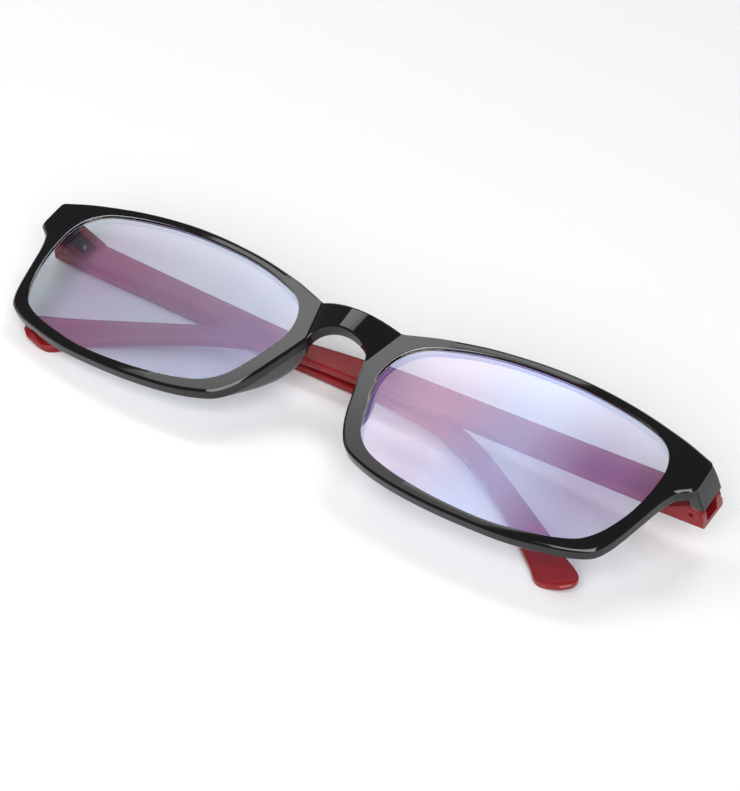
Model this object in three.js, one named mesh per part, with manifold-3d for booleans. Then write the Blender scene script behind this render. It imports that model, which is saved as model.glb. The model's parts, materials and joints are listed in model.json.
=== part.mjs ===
// Blue light glasses: a black moulded front, two clear lenses and two red temples, folded and lying
// face up. Millimetres, +Z up. The front is drawn in its own frame: x to the viewer's right, y towards
// the brow, z out of the front face, with the origin on the middle of the front face. The whole pair is
// then tipped so that it rests on z = 0.
import * as THREE from 'three';
import { mergeVertices } from 'three/addons/utils/BufferGeometryUtils.js';
import Module from 'manifold-3d';

const wasm = await Module();
wasm.setup();

// Front
const rimDepth = 2.4;            // front face to rear face of a rim
const edgeRound = 0.25;          // broken edge of the moulding
const wrap = 0.00054;            // face form: the front falls back by wrap * x * x
const lensCentre = [36, -1];
const grooveDepth = 0.75;
const grooveMiddle = 1.15;       // depth of the groove's bottom behind the front face
const grooveHalfWidth = 0.6;
const stationCount = 64;         // sections around each rim
const creaseLow = [5.8, 2];      // where the bridge meets the rim, at the nose
const creaseHigh = [8, 10.15];   // and at the brow
const bridgeRise = 2;            // the bridge bulges forward by this much
const bridgeThickness = 2.6;
const bridgeSteps = 9;           // sections on each side of its middle
const bridgePast = 1.07;         // it runs on into the rims, as a share of the way to the crease
const archHeight = 5.35;         // top of the nose arch
const archPower = 0.6;           // below 1, so the arch is rounder than a parabola
const padDepth = 4.6;            // how far the moulded nose pad stands behind the rim
const padFlare = 1.2;            // and leans outwards by this much
const padTop = 5;                // heights between which it grows and fades again
const padGrowth = 6.5;
const padBottom = -15.5;
const padFade = 13;
const padReach = 20;             // no pad further than this from the middle
const padCrest = 0.35;           // width of the pad's crest, as a share of the rim's width
const padFoot = 0.25;            // where the pad leaves the rear face, as a share of it

// Lens
const lensGap = 0.3;
const lensBevel = 0.4;
const bevelHalfWidth = 0.55;
const lensFront = 0.35;
const lensThickness = 1.75;

// End piece, as sections from front to back: depth, inner side, outer side below and above, low, high
const endSections = [
  [-3.2, 66, 67.9, 67.7, 4.9, 10.8],
  [-8.3, 66.3, 68.8, 68.8, 5.1, 11],
];

// Hinge
const pin = [65.84, 9.12, -11.23];
const hingeTilt = 4.2;           // degrees that the hinge axis leans back from the front
const tongueRadius = 1.45;
const tongueLow = -1.8;          // tongue's ends along the hinge axis, from the pin's middle
const tongueHigh = 0.8;
const tongueRoot = 7.2;          // how far it runs forward, into the end piece
const hookReach = 3.9;
const hook = [1, 0.8, -0.4, -0.6];   // hook's sides: forward and rear, at the tongue and at its end
const hookTurn = 1.13;           // where the tongue's round end starts, in half turns
const earRadius = 2.1;
const earLength = 5.4;           // block from the pin to where the blade takes over
const earTurn = 0.62;            // how far the ear's round end goes, in half turns
const clearance = 0.3;
const slotEnd = { front: 5, inboard: 8, shoulder: 0.5, hookFront: -0.2, hookRear: -1.1 };
const slotFloor = [-1.2, -1.3];  // where the slot's hollow floor starts
const slotTurn = 1.27;           // and in which direction from the pin, in half turns
const screwRadius = 0.6;
const screwLow = -2.7;
const screwEdge = [0.2, 0.15];   // broken edge of the screw's head, across and down
const boreRadius = 0.9;
const boreEnds = { tongue: [-4, 3], ears: [-3, 3.5] };
const pinHole = { radius: 0.45, low: -5, high: -2.9 };
const screwHead = { radius: 1.0, height: 0.5, bore: 1.3 };

// Temple, in its own frame: s along it from the pin, y along the hinge axis, z outwards
const templeTop = 2.84;
const templeLow = -3.5;
const templeInner = 0.6;         // inner face's distance outwards from the pin
const templeThickness = 1.97;
const templeTaper = 0.38;        // thickness lost per 100 mm
const bow = [0.5, 4.85];         // inward bow: second and third power of s / 100 mm
const straightLength = 20;       // flat stretch behind the hinge, before the bow
const templeEdge = 0.45;
const templeSteps = 44;
const tipSteps = 3;              // last sections, which thin towards the tip
const tipThinning = 0.3;
const foldRight = 1.8;           // degrees short of lying parallel to the front
const foldLeft = 4.4;

// Rest on the table
const restPitch = 19.43;         // degrees, onto the outer temple's edge and the two tips it stands on
const restRoll = -3.06;

const rad = THREE.MathUtils.degToRad;
const smooth = (t) => THREE.MathUtils.smoothstep(t, 0, 1);

// Outlines of the half on the viewer's right
const opening = [
  [9.3, 2], [10.3, 6.2], [13, 9.4], [18.7, 11.8], [25.8, 13.5], [33.3, 14.25], [41, 14.45], [48, 13.9],
  [54, 12.9], [58, 11.6], [60.8, 9.2], [62.1, 6.2], [62.3, 2.5], [61.8, -2.6], [60.7, -6.6], [59, -10.2],
  [57, -12.5], [53.6, -14.2], [48.5, -15.6], [42.5, -16.7], [35, -16.9], [28, -16.45], [21.5, -15.4],
  [16.8, -13.7], [13.8, -11], [11.4, -6], [9.9, -1.6],
];
const brow = [
  creaseHigh, [11.5, 11.35], [14.7, 12.4], [18.1, 13.25], [23.4, 14.4], [28.8, 15.15], [34.3, 15.65],
  [40, 15.8], [46, 15.5], [52, 14.8], [58.3, 13.6], [62.5, 12.6], [67.8, 10.9],
];
const underside = [
  [68, 4.8], [67.3, 4.25], [66.2, 3.5], [65.4, 2.8], [64.8, 1.6], [64.2, 0], [63.2, -4], [62.1, -8.4],
  [61.3, -10.9], [60, -13.2], [57.4, -14.8], [52.4, -16.3], [46, -17.6], [38, -18.15], [30, -18.15],
  [22.6, -17.5], [17.5, -16.4], [13.6, -14.8], [11.3, -12.2], [9.5, -8.8], [8.1, -4.9], [6.7, -0.9],
  creaseLow,
];

// A spline through the points, as a list of points
function throughPoints(points, closed, count) {
  const curve = new THREE.CatmullRomCurve3(points.map(([x, y]) => new THREE.Vector3(x, y, 0)), closed);
  return curve.getSpacedPoints(count).map((p) => [p.x, p.y]);
}

const angleOf = ([x, y]) => Math.atan2(y - lensCentre[1], x - lensCentre[0]);

// Distance from the lens centre to a closed outline, in the direction of an angle
function reach(outline, angle) {
  const dir = [Math.cos(angle), Math.sin(angle)];
  let far = 0;
  outline.forEach(([ax, ay], i) => {
    const [bx, by] = outline[(i + 1) % outline.length];
    const [px, py, ex, ey] = [ax - lensCentre[0], ay - lensCentre[1], bx - ax, by - ay];
    const det = ex * dir[1] - ey * dir[0];
    if (Math.abs(det) < 1e-12) return;
    const along = (py * ex - px * ey) / det;
    const part = (dir[0] * py - dir[1] * px) / det;
    if (part > -1e-9 && part < 1 + 1e-9 && along > far) far = along;
  });
  return far;
}

// Closed solid through rings of points; the rings close on themselves or are capped
function loft(rings, closed = false) {
  const size = rings[0].length;
  const positions = rings.flat(2);
  const index = [];
  const last = closed ? rings.length : rings.length - 1;
  for (let r = 0; r < last; r += 1) {
    const next = (r + 1) % rings.length;
    for (let i = 0; i < size; i += 1) {
      const j = (i + 1) % size;
      const [a, b, c, d] = [r * size + i, r * size + j, next * size + j, next * size + i];
      index.push(a, b, c, a, c, d);
    }
  }
  if (!closed) {
    capRing(rings[0], 0, positions, index, true);
    capRing(rings[rings.length - 1], (rings.length - 1) * size, positions, index, false);
  }
  const geometry = new THREE.BufferGeometry();
  geometry.setAttribute('position', new THREE.Float32BufferAttribute(positions, 3));
  geometry.setIndex(index);
  return facingOut(geometry);
}

function capRing(ring, start, positions, index, first) {
  const middle = [0, 1, 2].map((k) => ring.reduce((sum, p) => sum + p[k], 0) / ring.length);
  const centre = positions.length / 3;
  positions.push(...middle);
  ring.forEach((_, i) => {
    const [a, b] = [start + i, start + (i + 1) % ring.length];
    index.push(...(first ? [centre, b, a] : [centre, a, b]));
  });
}

function volumeOf(geometry) {
  const p = geometry.attributes.position;
  const [a, b, c] = [new THREE.Vector3(), new THREE.Vector3(), new THREE.Vector3()];
  let sum = 0;
  for (let i = 0; i < geometry.index.count; i += 3) {
    [a, b, c].forEach((v, k) => v.fromBufferAttribute(p, geometry.index.getX(i + k)));
    sum += a.dot(b.cross(c)) / 6;
  }
  return sum;
}

function flip(geometry) {
  const order = Array.from(geometry.index.array);
  for (let i = 0; i < order.length; i += 3) [order[i + 1], order[i + 2]] = [order[i + 2], order[i + 1]];
  geometry.setIndex(order);
  return geometry;
}

const facingOut = (geometry) => (volumeOf(geometry) < 0 ? flip(geometry) : geometry);

// Booleans
function solid(geometry) {
  const bare = geometry.clone();
  bare.deleteAttribute('normal');
  bare.deleteAttribute('uv');
  const merged = mergeVertices(bare, 1e-5);
  return new wasm.Manifold(new wasm.Mesh({
    numProp: 3,
    vertProperties: Float32Array.from(merged.attributes.position.array),
    triVerts: Uint32Array.from(merged.index.array),
  }));
}

function fromSolid(manifold) {
  const mesh = manifold.getMesh();
  const geometry = new THREE.BufferGeometry();
  geometry.setAttribute('position', new THREE.BufferAttribute(mesh.vertProperties.slice(), 3));
  geometry.setIndex(Array.from(mesh.triVerts));
  return geometry;
}

const mirrored = (geometry) => flip(geometry.clone().scale(-1, 1, 1));

// Rim: sections around the lens, each a closed outline from the opening to the outer edge
const openingLine = throughPoints(opening, true, 160);
const rimLine = [...throughPoints(brow, false, 60), ...throughPoints(underside, false, 120)];

function stationAngles() {
  const corners = [creaseLow, creaseHigh, brow[brow.length - 1], underside[0]].map(angleOf);
  const even = throughPoints(opening, true, stationCount).slice(0, stationCount).map(angleOf);
  const clear = even.filter((a) => corners.every((c) => Math.abs(a - c) > rad(1.5)));
  return [...clear, ...corners].sort((a, b) => a - b);
}

// How far the nose pad stands behind the rim at an outer point
function padStand([x, y]) {
  if (x > padReach) return 0;
  return padDepth * smooth((padTop - y) / padGrowth) * smooth((y - padBottom) / padFade);
}

function rimSection(angle) {
  const inner = reach(openingLine, angle);
  const outer = reach(rimLine, angle);
  const at = (r, z) => {
    const x = lensCentre[0] + Math.cos(angle) * (inner + r);
    return [x, lensCentre[1] + Math.sin(angle) * (inner + r), z - wrap * x * x];
  };
  const width = outer - inner;
  const [ox, oy] = at(width, 0);
  const stand = padStand([ox, oy]);
  const flare = padFlare * stand / padDepth;
  const padOuter = width - edgeRound - flare;
  const padInner = padOuter - padCrest * width;
  return [
    at(edgeRound, 0), at(0, -edgeRound), at(0, grooveHalfWidth - grooveMiddle),
    at(grooveDepth, -grooveMiddle), at(0, -grooveMiddle - grooveHalfWidth), at(0, edgeRound - rimDepth),
    at(edgeRound, -rimDepth), at(padFoot * width, -rimDepth), at(padInner, -rimDepth - stand),
    at(padOuter, -rimDepth - stand), at(width - 0.15 * flare, edgeRound - rimDepth),
    at(width, -edgeRound), at(width - edgeRound, 0),
  ];
}

const rim = () => loft(stationAngles().map(rimSection), true);

// Bridge: sections from crease to crease, slanted like the creases at its ends
function bridge() {
  const rings = [];
  const slope = (creaseHigh[0] - creaseLow[0]) / (creaseHigh[1] - creaseLow[1]);
  for (let k = -bridgeSteps; k <= bridgeSteps; k += 1) {
    const t = bridgePast * k / bridgeSteps;
    const inside = Math.max(0, 1 - t * t);
    const low = creaseLow[1] + (archHeight - creaseLow[1]) * inside ** archPower;
    const rise = bridgeRise * (1 - t * t);
    const at = (y, z) => {
      const x = t * (creaseLow[0] + (y - creaseLow[1]) * slope);
      return [x, y, z + rise - wrap * x * x];
    };
    const [high, back] = [creaseHigh[1], -bridgeThickness];
    rings.push([
      at(low + edgeRound, 0), at(high - edgeRound, 0), at(high, -edgeRound), at(high, back + edgeRound),
      at(high - edgeRound, back), at(low + edgeRound, back), at(low, back + edgeRound),
      at(low, -edgeRound),
    ]);
  }
  return loft(rings);
}

// End piece: the side wall that runs back to the hinge
function endPiece() {
  const ring = (z, x0, x1, x2, y0, y1) => [[x0, y0, z], [x1, y0, z], [x2, y1, z], [x0, y1, z]];
  return loft(endSections.map((section) => ring(...section)));
}

// From the hinge's frame to the front's frame, for the viewer's right
function placeAtHinge(geometry) {
  return geometry.rotateX(-rad(hingeTilt)).translate(...pin);
}

// Extrudes a profile of (outboard, forward) points along the hinge axis
function alongHinge(shape, low, high) {
  const settings = { depth: high - low, bevelEnabled: false, curveSegments: 8 };
  const extruded = new THREE.ExtrudeGeometry(shape, settings);
  const basis = new THREE.Matrix4().makeBasis(
    new THREE.Vector3(1, 0, 0), new THREE.Vector3(0, 0, 1), new THREE.Vector3(0, -1, 0),
  );
  return extruded.applyMatrix4(basis).translate(0, high, 0);
}

function tongue() {
  const [frontRoot, frontEnd, rearEnd, rearRoot] = hook;
  const shape = new THREE.Shape();
  shape.moveTo(tongueRadius, tongueRoot);
  shape.lineTo(-tongueRadius, tongueRoot);
  shape.lineTo(-tongueRadius, frontRoot);
  shape.lineTo(-hookReach, frontEnd);
  shape.lineTo(-hookReach, rearEnd);
  shape.lineTo(-tongueRadius, rearRoot);
  shape.absarc(0, 0, tongueRadius, Math.PI * hookTurn, Math.PI * 2, false);
  return placeAtHinge(alongHinge(shape, tongueLow, tongueHigh));
}

function rod(radius, low, high, sides = 20) {
  return new THREE.CylinderGeometry(radius, radius, high - low, sides).translate(0, (low + high) / 2, 0);
}

function frontFrame() {
  const half = [rim(), endPiece(), tongue()].map(solid).reduce((a, b) => a.add(b));
  const bored = half.subtract(solid(placeAtHinge(rod(boreRadius, ...boreEnds.tongue))));
  const right = fromSolid(bored);
  return fromSolid(bored.add(solid(mirrored(right))).add(solid(bridge())));
}

// Lens: stacked outlines with a bevel that sits in the groove
function lens() {
  const layers = [
    [-lensGap, lensFront], [-lensGap, grooveMiddle - bevelHalfWidth], [lensBevel, grooveMiddle],
    [-lensGap, grooveMiddle + bevelHalfWidth], [-lensGap, lensFront + lensThickness],
  ];
  const angles = stationAngles();
  return loft(layers.map(([grow, depth]) => angles.map((angle) => {
    const r = reach(openingLine, angle) + grow;
    const x = lensCentre[0] + Math.cos(angle) * r;
    return [x, lensCentre[1] + Math.sin(angle) * r, -depth - wrap * x * x];
  })));
}

// Temple edges in side view, from the hinge to the tip
const templeUpper = [
  [-2.1, templeTop], [20, 2.85], [40, 2.72], [60, 2.2], [72, 1.05], [82, -0.9], [92, -4.7], [101, -9.7],
  [110, -15.2], [117, -19.5], [120.8, -21.7], [122.2, -23], [122.3, -24.8],
];
const templeUnder = [
  [-2.1, templeLow], [20, -3.22], [40, -3.1], [60, -3.05], [70, -3.3], [78, -4], [86, -6.1],
  [94, -9.9], [102, -15.05], [108.5, -19.9], [113.5, -24], [116.2, -26.3], [120.6, -26.1],
];

function bowAt(s) {
  const curve = (u) => bow[0] * u ** 2 + bow[1] * u ** 3;
  return curve(straightLength / 100) - curve(Math.max(s, straightLength) / 100);
}

function thicknessAt(s) {
  return templeThickness - templeTaper * (Math.max(s, straightLength) - straightLength) / 100;
}

function templeBlade() {
  const rings = [];
  const steps = templeSteps;
  const curveOf = (edge) => new THREE.CatmullRomCurve3(edge.map(([s, y]) => new THREE.Vector3(s, y, 0)));
  const [upper, under] = [templeUpper, templeUnder].map(curveOf);
  for (let k = 0; k <= steps; k += 1) {
    const [u, v] = [upper.getPoint(k / steps), under.getPoint(k / steps)];
    const [ds, dy] = [v.x - u.x, v.y - u.y];
    const part = templeEdge / Math.hypot(ds, dy);
    const thin = tipThinning * Math.max(0, k - steps + tipSteps) / tipSteps;
    const at = (across, through) => {
      const s = u.x + ds * across;
      const thick = thicknessAt(s);
      const edge = templeEdge + thin;
      const z = templeInner + bowAt(s) + [thin, edge, thick - edge, thick - thin][through];
      return [-s, u.y + dy * across, -z];
    };
    rings.push([
      at(part, 0), at(0, 1), at(0, 2), at(part, 3), at(1 - part, 3), at(1, 2), at(1, 1), at(1 - part, 0),
    ]);
  }
  return loft(rings);
}

function earBlock() {
  const outer = -(templeInner + templeThickness);
  const shape = new THREE.Shape();
  shape.moveTo(earRadius, outer);
  shape.lineTo(earRadius, 0);
  shape.absarc(0, 0, earRadius, 0, Math.PI * earTurn, false);
  shape.lineTo(-earLength, -templeInner);
  shape.lineTo(-earLength, outer);
  return alongHinge(shape, templeLow, templeTop);
}

function slot() {
  const shape = new THREE.Shape();
  const r = tongueRadius + clearance;
  const { front, inboard, shoulder, hookFront, hookRear } = slotEnd;
  shape.moveTo(front, -r);
  shape.lineTo(front, front);
  shape.lineTo(-inboard, front);
  shape.lineTo(-inboard, shoulder);
  shape.lineTo(-hookReach - clearance, hookFront);
  shape.lineTo(-hookReach - clearance, hookRear);
  shape.lineTo(...slotFloor);
  shape.absarc(0, 0, r, Math.PI * slotTurn, Math.PI * 1.5, false);
  return alongHinge(shape, tongueLow - clearance, tongueHigh + clearance);
}

function temple() {
  const whole = solid(templeBlade()).add(solid(earBlock()));
  return fromSolid([
    slot(),
    rod(boreRadius, ...boreEnds.ears),
    rod(pinHole.radius, pinHole.low, pinHole.high, 12),
    rod(screwHead.bore, templeTop - screwHead.height - 2 * clearance, boreEnds.ears[1], 24),
  ].map(solid).reduce((a, b) => a.subtract(b), whole));
}

function screw() {
  const top = templeTop - clearance;
  const neck = top - screwHead.height;
  const profile = [
    [0, screwLow], [screwRadius, screwLow], [screwRadius, neck], [screwHead.radius, neck],
    [screwHead.radius, top - screwEdge[1]], [screwHead.radius - screwEdge[0], top], [0, top],
  ];
  return facingOut(mergeVertices(
    new THREE.LatheGeometry(profile.map(([r, y]) => new THREE.Vector2(r, y)), 20).deleteAttribute('uv'),
  ));
}

// Materials
const blackPlastic = new THREE.MeshStandardMaterial({ color: 0x17171a, roughness: 0.18, metalness: 0 });
const redPlastic = new THREE.MeshStandardMaterial({ color: 0x8c2a2e, roughness: 0.35, metalness: 0 });
const coatedLens = new THREE.MeshStandardMaterial({
  color: 0xdfe6f2, roughness: 0.03, metalness: 0, transparent: true, opacity: 0.3,
});
const screwSteel = new THREE.MeshStandardMaterial({ color: 0x9a9a98, roughness: 0.35, metalness: 1 });

// Assembly
const glasses = new THREE.Group();
glasses.rotation.set(rad(restPitch), rad(restRoll), 0);

function place(parent, name, geometry, material) {
  const mesh = new THREE.Mesh(geometry, material);
  mesh.name = name;
  parent.add(mesh);
  return mesh;
}

place(glasses, 'front_frame', frontFrame(), blackPlastic);

const sides = [
  { side: 'right', sign: 1, fold: foldRight, own: (geometry) => geometry },
  { side: 'left', sign: -1, fold: foldLeft, own: mirrored },
];
for (const { side, sign, fold, own } of sides) {
  place(glasses, `${side}_lens`, own(lens()), coatedLens);
  const hinge = new THREE.Group();
  hinge.position.set(sign * pin[0], pin[1], pin[2]);
  hinge.rotation.x = -rad(hingeTilt);
  glasses.add(hinge);
  const turn = new THREE.Group();
  turn.rotation.y = -sign * rad(fold);
  hinge.add(turn);
  place(turn, `${side}_temple`, own(temple()), redPlastic);
  place(turn, `${side}_hinge_screw`, own(screw()), screwSteel);
}

// Origin at the middle of the footprint, on the table
glasses.updateMatrixWorld(true);
const box = new THREE.Box3().setFromObject(glasses, true);
const middle = box.getCenter(new THREE.Vector3());
glasses.position.set(-middle.x, -middle.y, -box.min.z);

export default glasses;
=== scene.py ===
import json
import math

import bmesh
import bpy
import numpy as np
from mathutils import Matrix, Vector


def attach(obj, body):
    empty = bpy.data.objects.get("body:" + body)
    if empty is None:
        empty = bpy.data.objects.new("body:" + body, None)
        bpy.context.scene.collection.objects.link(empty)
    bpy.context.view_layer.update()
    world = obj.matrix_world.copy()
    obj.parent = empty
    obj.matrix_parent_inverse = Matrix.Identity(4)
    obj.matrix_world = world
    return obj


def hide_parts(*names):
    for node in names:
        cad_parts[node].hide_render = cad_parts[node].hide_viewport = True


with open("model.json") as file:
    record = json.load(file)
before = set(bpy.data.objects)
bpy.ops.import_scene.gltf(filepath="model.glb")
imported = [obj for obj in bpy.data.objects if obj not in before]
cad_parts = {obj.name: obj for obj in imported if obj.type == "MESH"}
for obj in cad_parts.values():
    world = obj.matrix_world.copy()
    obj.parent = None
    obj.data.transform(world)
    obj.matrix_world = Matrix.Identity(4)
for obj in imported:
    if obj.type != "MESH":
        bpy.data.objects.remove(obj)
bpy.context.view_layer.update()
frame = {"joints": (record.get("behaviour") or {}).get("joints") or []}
scene = bpy.context.scene

# A pair of blue light glasses, folded and lying face up. Shapes are drawn in millimetres in the front's
# own frame: x to the viewer's right, y towards the brow, z out of the front face. The hinge pins of
# the frame say where that frame lies.
mm = 0.001

hingeSizes = {
    "pin": (65.84, 9.12, -11.23),    # pin from the middle of the front face
    "lean": 4.2,                     # degrees that the hinge axis leans back
    "foldRight": 1.8,                # degrees that the folded temple lies off the front's plane
    "foldLeft": 4.4,
    "tongueRadius": 1.45,
    "tongueSpan": (-1.8, 0.8),       # along the hinge axis
    "hookReach": 3.9,
    "earRadius": 2.1,
    "tongueRoot": 7.2,               # how far the tongue runs forward, into the end piece
    "hookSides": (1.0, 0.82, -0.42, -0.6),   # hook: forward and rear side, at its root and at its end
    "hookRound": 0.2,
    "clearance": 0.3,
    "bore": 0.9,
    "boreSpan": (-4, 3),             # through the tongue
    "earBoreSpan": (-3, 3.5),        # through the ears
}


def frontPlacement():
    pins = {j["name"]: Vector(j["pos_m"]) for j in frame["joints"]}
    lean = next(Vector(j["axis"]) for j in frame["joints"] if j["name"] == "left_hinge").normalized()
    across = (pins["right_hinge"] - pins["left_hinge"]).normalized()
    up = Matrix.Rotation(math.radians(hingeSizes["lean"]), 3, across) @ lean
    up = (up - across * up.dot(across)).normalized()
    out = across.cross(up)
    middle = (pins["right_hinge"] + pins["left_hinge"]) / 2
    _, pinY, pinZ = hingeSizes["pin"]
    origin = middle - up * pinY * mm - out * pinZ * mm
    turn = Matrix((across, up, out)).transposed().to_4x4()
    return Matrix.Translation(origin) @ turn @ Matrix.Scale(mm, 4)


frontSpace = frontPlacement()


def hingeSpace(side):
    # Side 1 is the viewer's right, -1 the left, whose space is mirrored.
    x, y, z = hingeSizes["pin"]
    fold = hingeSizes["foldRight"] if side > 0 else hingeSizes["foldLeft"]
    space = frontSpace @ Matrix.Translation((side * x, y, z))
    space = space @ Matrix.Rotation(-math.radians(hingeSizes["lean"]), 4, "X")
    space = space @ Matrix.Rotation(-side * math.radians(fold), 4, "Y")
    return space @ Matrix.Diagonal((side, 1, 1, 1))


# Lines and profiles

def smooth(value):
    t = min(max(value, 0.0), 1.0)
    return t * t * (3 - 2 * t)


def splineAt(points, u):
    # Centripetal spline through the points, u from 0 to 1.
    count = len(points) - 1
    i = min(int(u * count), count - 1)
    t = u * count - i
    p = np.array(points, float)
    before = p[i - 1] if i > 0 else 2 * p[0] - p[1]
    after = p[i + 2] if i + 2 <= count else 2 * p[-1] - p[-2]
    a, b = p[i], p[i + 1]
    d0, d1, d2 = (max(np.linalg.norm(v), 1e-9) ** 0.5 for v in (a - before, b - a, after - b))
    ta = ((a - before) / d0 - (b - before) / (d0 + d1) + (b - a) / d1) * d1
    tb = ((b - a) / d1 - (after - a) / (d1 + d2) + (after - b) / d2) * d1
    return ((2 * a - 2 * b + ta + tb) * t ** 3 + (-3 * a + 3 * b - 2 * ta - tb) * t ** 2 + ta * t + a)


def evenly(line, count):
    # The same line with points at even spacing.
    line = np.array(line, float)
    run = np.concatenate([[0], np.cumsum(np.linalg.norm(np.diff(line, axis=0), axis=1))])
    at = np.linspace(0, run[-1], count)
    return np.stack([np.interp(at, run, line[:, k]) for k in range(line.shape[1])], axis=1)


def through(points, count, closed=False):
    if closed:
        n = len(points)
        lap = list(points) * 3
        fine = [splineAt(lap, (n + k / 8) / (3 * n - 1)) for k in range(8 * n + 1)]
    else:
        fine = [splineAt(points, k / (8 * len(points))) for k in range(8 * len(points) + 1)]
    return evenly(fine, count + 1)


def bend(a, corner, b, steps):
    # Points on the soft corner from a to b.
    a, corner, b = (np.array(v, float) for v in (a, corner, b))
    return [(1 - t) ** 2 * a + 2 * t * (1 - t) * corner + t * t * b for t in np.linspace(0, 1, steps + 1)]


def softened(profile, steps=3):
    # Closed profile of (u, v, corner size), each corner made soft with the same number of points.
    out = []
    n = len(profile)
    for i, (u, v, size) in enumerate(profile):
        p = np.array((u, v))
        before, after = np.array(profile[i - 1][:2]), np.array(profile[(i + 1) % n][:2])
        reachA, reachB = np.linalg.norm(before - p), np.linalg.norm(after - p)
        a = p + (before - p) * min(size, 0.45 * reachA) / max(reachA, 1e-9)
        b = p + (after - p) * min(size, 0.45 * reachB) / max(reachB, 1e-9)
        out += bend(a, p, b, steps)
    return out


def softJoin(first, second, size, steps=6):
    # Two lines and the straight between them, with soft corners where it starts and ends.
    first, second = np.array(first), np.array(second)
    keepA = first[np.linalg.norm(first - first[-1], axis=1) > size]
    keepB = second[np.linalg.norm(second - second[0], axis=1) > size]
    a = first[-1] + (keepA[-1] - first[-1]) * size / np.linalg.norm(keepA[-1] - first[-1])
    b = second[0] + (keepB[0] - second[0]) * size / np.linalg.norm(keepB[0] - second[0])
    straight = np.linspace(first[-1], second[0], 10)
    joinA = bend(a, first[-1], straight[2], steps)
    joinB = bend(straight[-3], second[0], b, steps)
    return np.concatenate([keepA, joinA, straight[3:-3], joinB, keepB])


def inset(line, distance):
    # A closed line moved inwards.
    ahead = np.roll(line, -1, axis=0) - np.roll(line, 1, axis=0)
    ahead /= np.maximum(np.linalg.norm(ahead, axis=1, keepdims=True), 1e-9)
    following = np.roll(line, -1, axis=0)
    area = np.sum(line[:, 0] * following[:, 1] - following[:, 0] * line[:, 1])
    return line + math.copysign(distance, area) * np.stack([-ahead[:, 1], ahead[:, 0]], axis=1)


# Meshes

def loft(rings, closed=False):
    # Vertices and faces of a solid through rings of the same number of points.
    count, size = len(rings), len(rings[0])
    points = [tuple(p) for ring in rings for p in ring]
    faces = []
    for r in range(count if closed else count - 1):
        a, b = r * size, (r + 1) % count * size
        faces += [(a + i, a + (i + 1) % size, b + (i + 1) % size, b + i) for i in range(size)]
    if not closed:
        for start, turned in ((0, True), ((count - 1) * size, False)):
            ring = list(range(start, start + size))
            faces.append(tuple(reversed(ring)) if turned else tuple(ring))
    return points, faces


def solidMesh(name, shape, space=None, mirror=False):
    points, faces = shape
    mesh = bpy.data.meshes.new(name)
    mesh.from_pydata(points, [], faces)
    if mirror:
        mesh.transform(Matrix.Diagonal((-1, 1, 1, 1)))
    if space is not None:
        mesh.transform(space)
    work = bmesh.new()
    work.from_mesh(mesh)
    bmesh.ops.remove_doubles(work, verts=work.verts, dist=1e-4 if space is None else 1e-7)
    bmesh.ops.recalc_face_normals(work, faces=work.faces)
    work.to_mesh(mesh)
    work.free()
    made = bpy.data.objects.new(name, mesh)
    scene.collection.objects.link(made)
    return made


def settled(piece):
    # The piece with its modifiers made part of its mesh.
    bpy.context.view_layer.update()
    result = bpy.data.meshes.new_from_object(piece.evaluated_get(bpy.context.evaluated_depsgraph_get()))
    result.name = piece.name
    piece.modifiers.clear()
    piece.data = result
    return piece


def combined(base, tool, kind):
    # Boolean of two solids; the tool is used up.
    change = base.modifiers.new(kind, "BOOLEAN")
    change.operation = kind
    change.solver = "EXACT"
    change.object = tool
    settled(base)
    bpy.data.objects.remove(tool)
    return base


def creased(piece, degrees=32):
    # Smooth shading that stops at edges sharper than this.
    piece.data.shade_smooth()
    piece.data.set_sharp_from_angle(angle=math.radians(degrees))
    even = piece.modifiers.new("even", "WEIGHTED_NORMAL")   # keeps the flats flat beside their soft corners
    even.keep_sharp = True
    return settled(piece)


def ready(piece, material, slot, body, *nodes):
    # One finished piece: its material, the body it moves with and the nodes it stands for.
    piece.data.materials.clear()
    piece.data.materials.append(material)
    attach(piece, body)
    if nodes:
        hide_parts(*nodes)
    return piece


# Materials

def linear(hexColour):
    # SRGB hex to the linear colour that sockets take.
    channels = [int(hexColour[i:i + 2], 16) / 255 for i in (1, 3, 5)]
    return tuple(c / 12.92 if c <= 0.04045 else ((c + 0.055) / 1.055) ** 2.4 for c in channels) + (1.0,)


def addNode(tree, kind, settings=None, values=None, links=None):
    made = tree.nodes.new(kind)
    for name, value in (settings or {}).items():
        setattr(made, name, value)
    for name, value in (values or {}).items():
        made.inputs[name].default_value = value
    for name, source in (links or {}).items():
        tree.links.new(source, made.inputs[name])
    return made


def newMaterial(name):
    material = bpy.data.materials.new(name)
    material.use_nodes = True
    tree = material.node_tree
    tree.nodes.clear()
    place = addNode(tree, "ShaderNodeTexCoord")
    shader = addNode(tree, "ShaderNodeBsdfPrincipled")
    addNode(tree, "ShaderNodeOutputMaterial", links={"Surface": shader.outputs["BSDF"]})
    return material, tree, place.outputs["Object"], shader


def setShader(shader, **values):
    for name, value in values.items():
        shader.inputs[name.replace("_", " ")].default_value = value


blackSizes = {
    "colour": "#0b0b0c", "flow": "#131315",
    "flowLength": 9.0,               # mm, soft flow marks of the moulding
    "ripple": 2.6,                   # mm, faint waviness that a polished tool leaves
    "rippleHeight": 0.0012,
    "roughness": (0.035, 0.075),
    "shine": 0.38,
}


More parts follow.
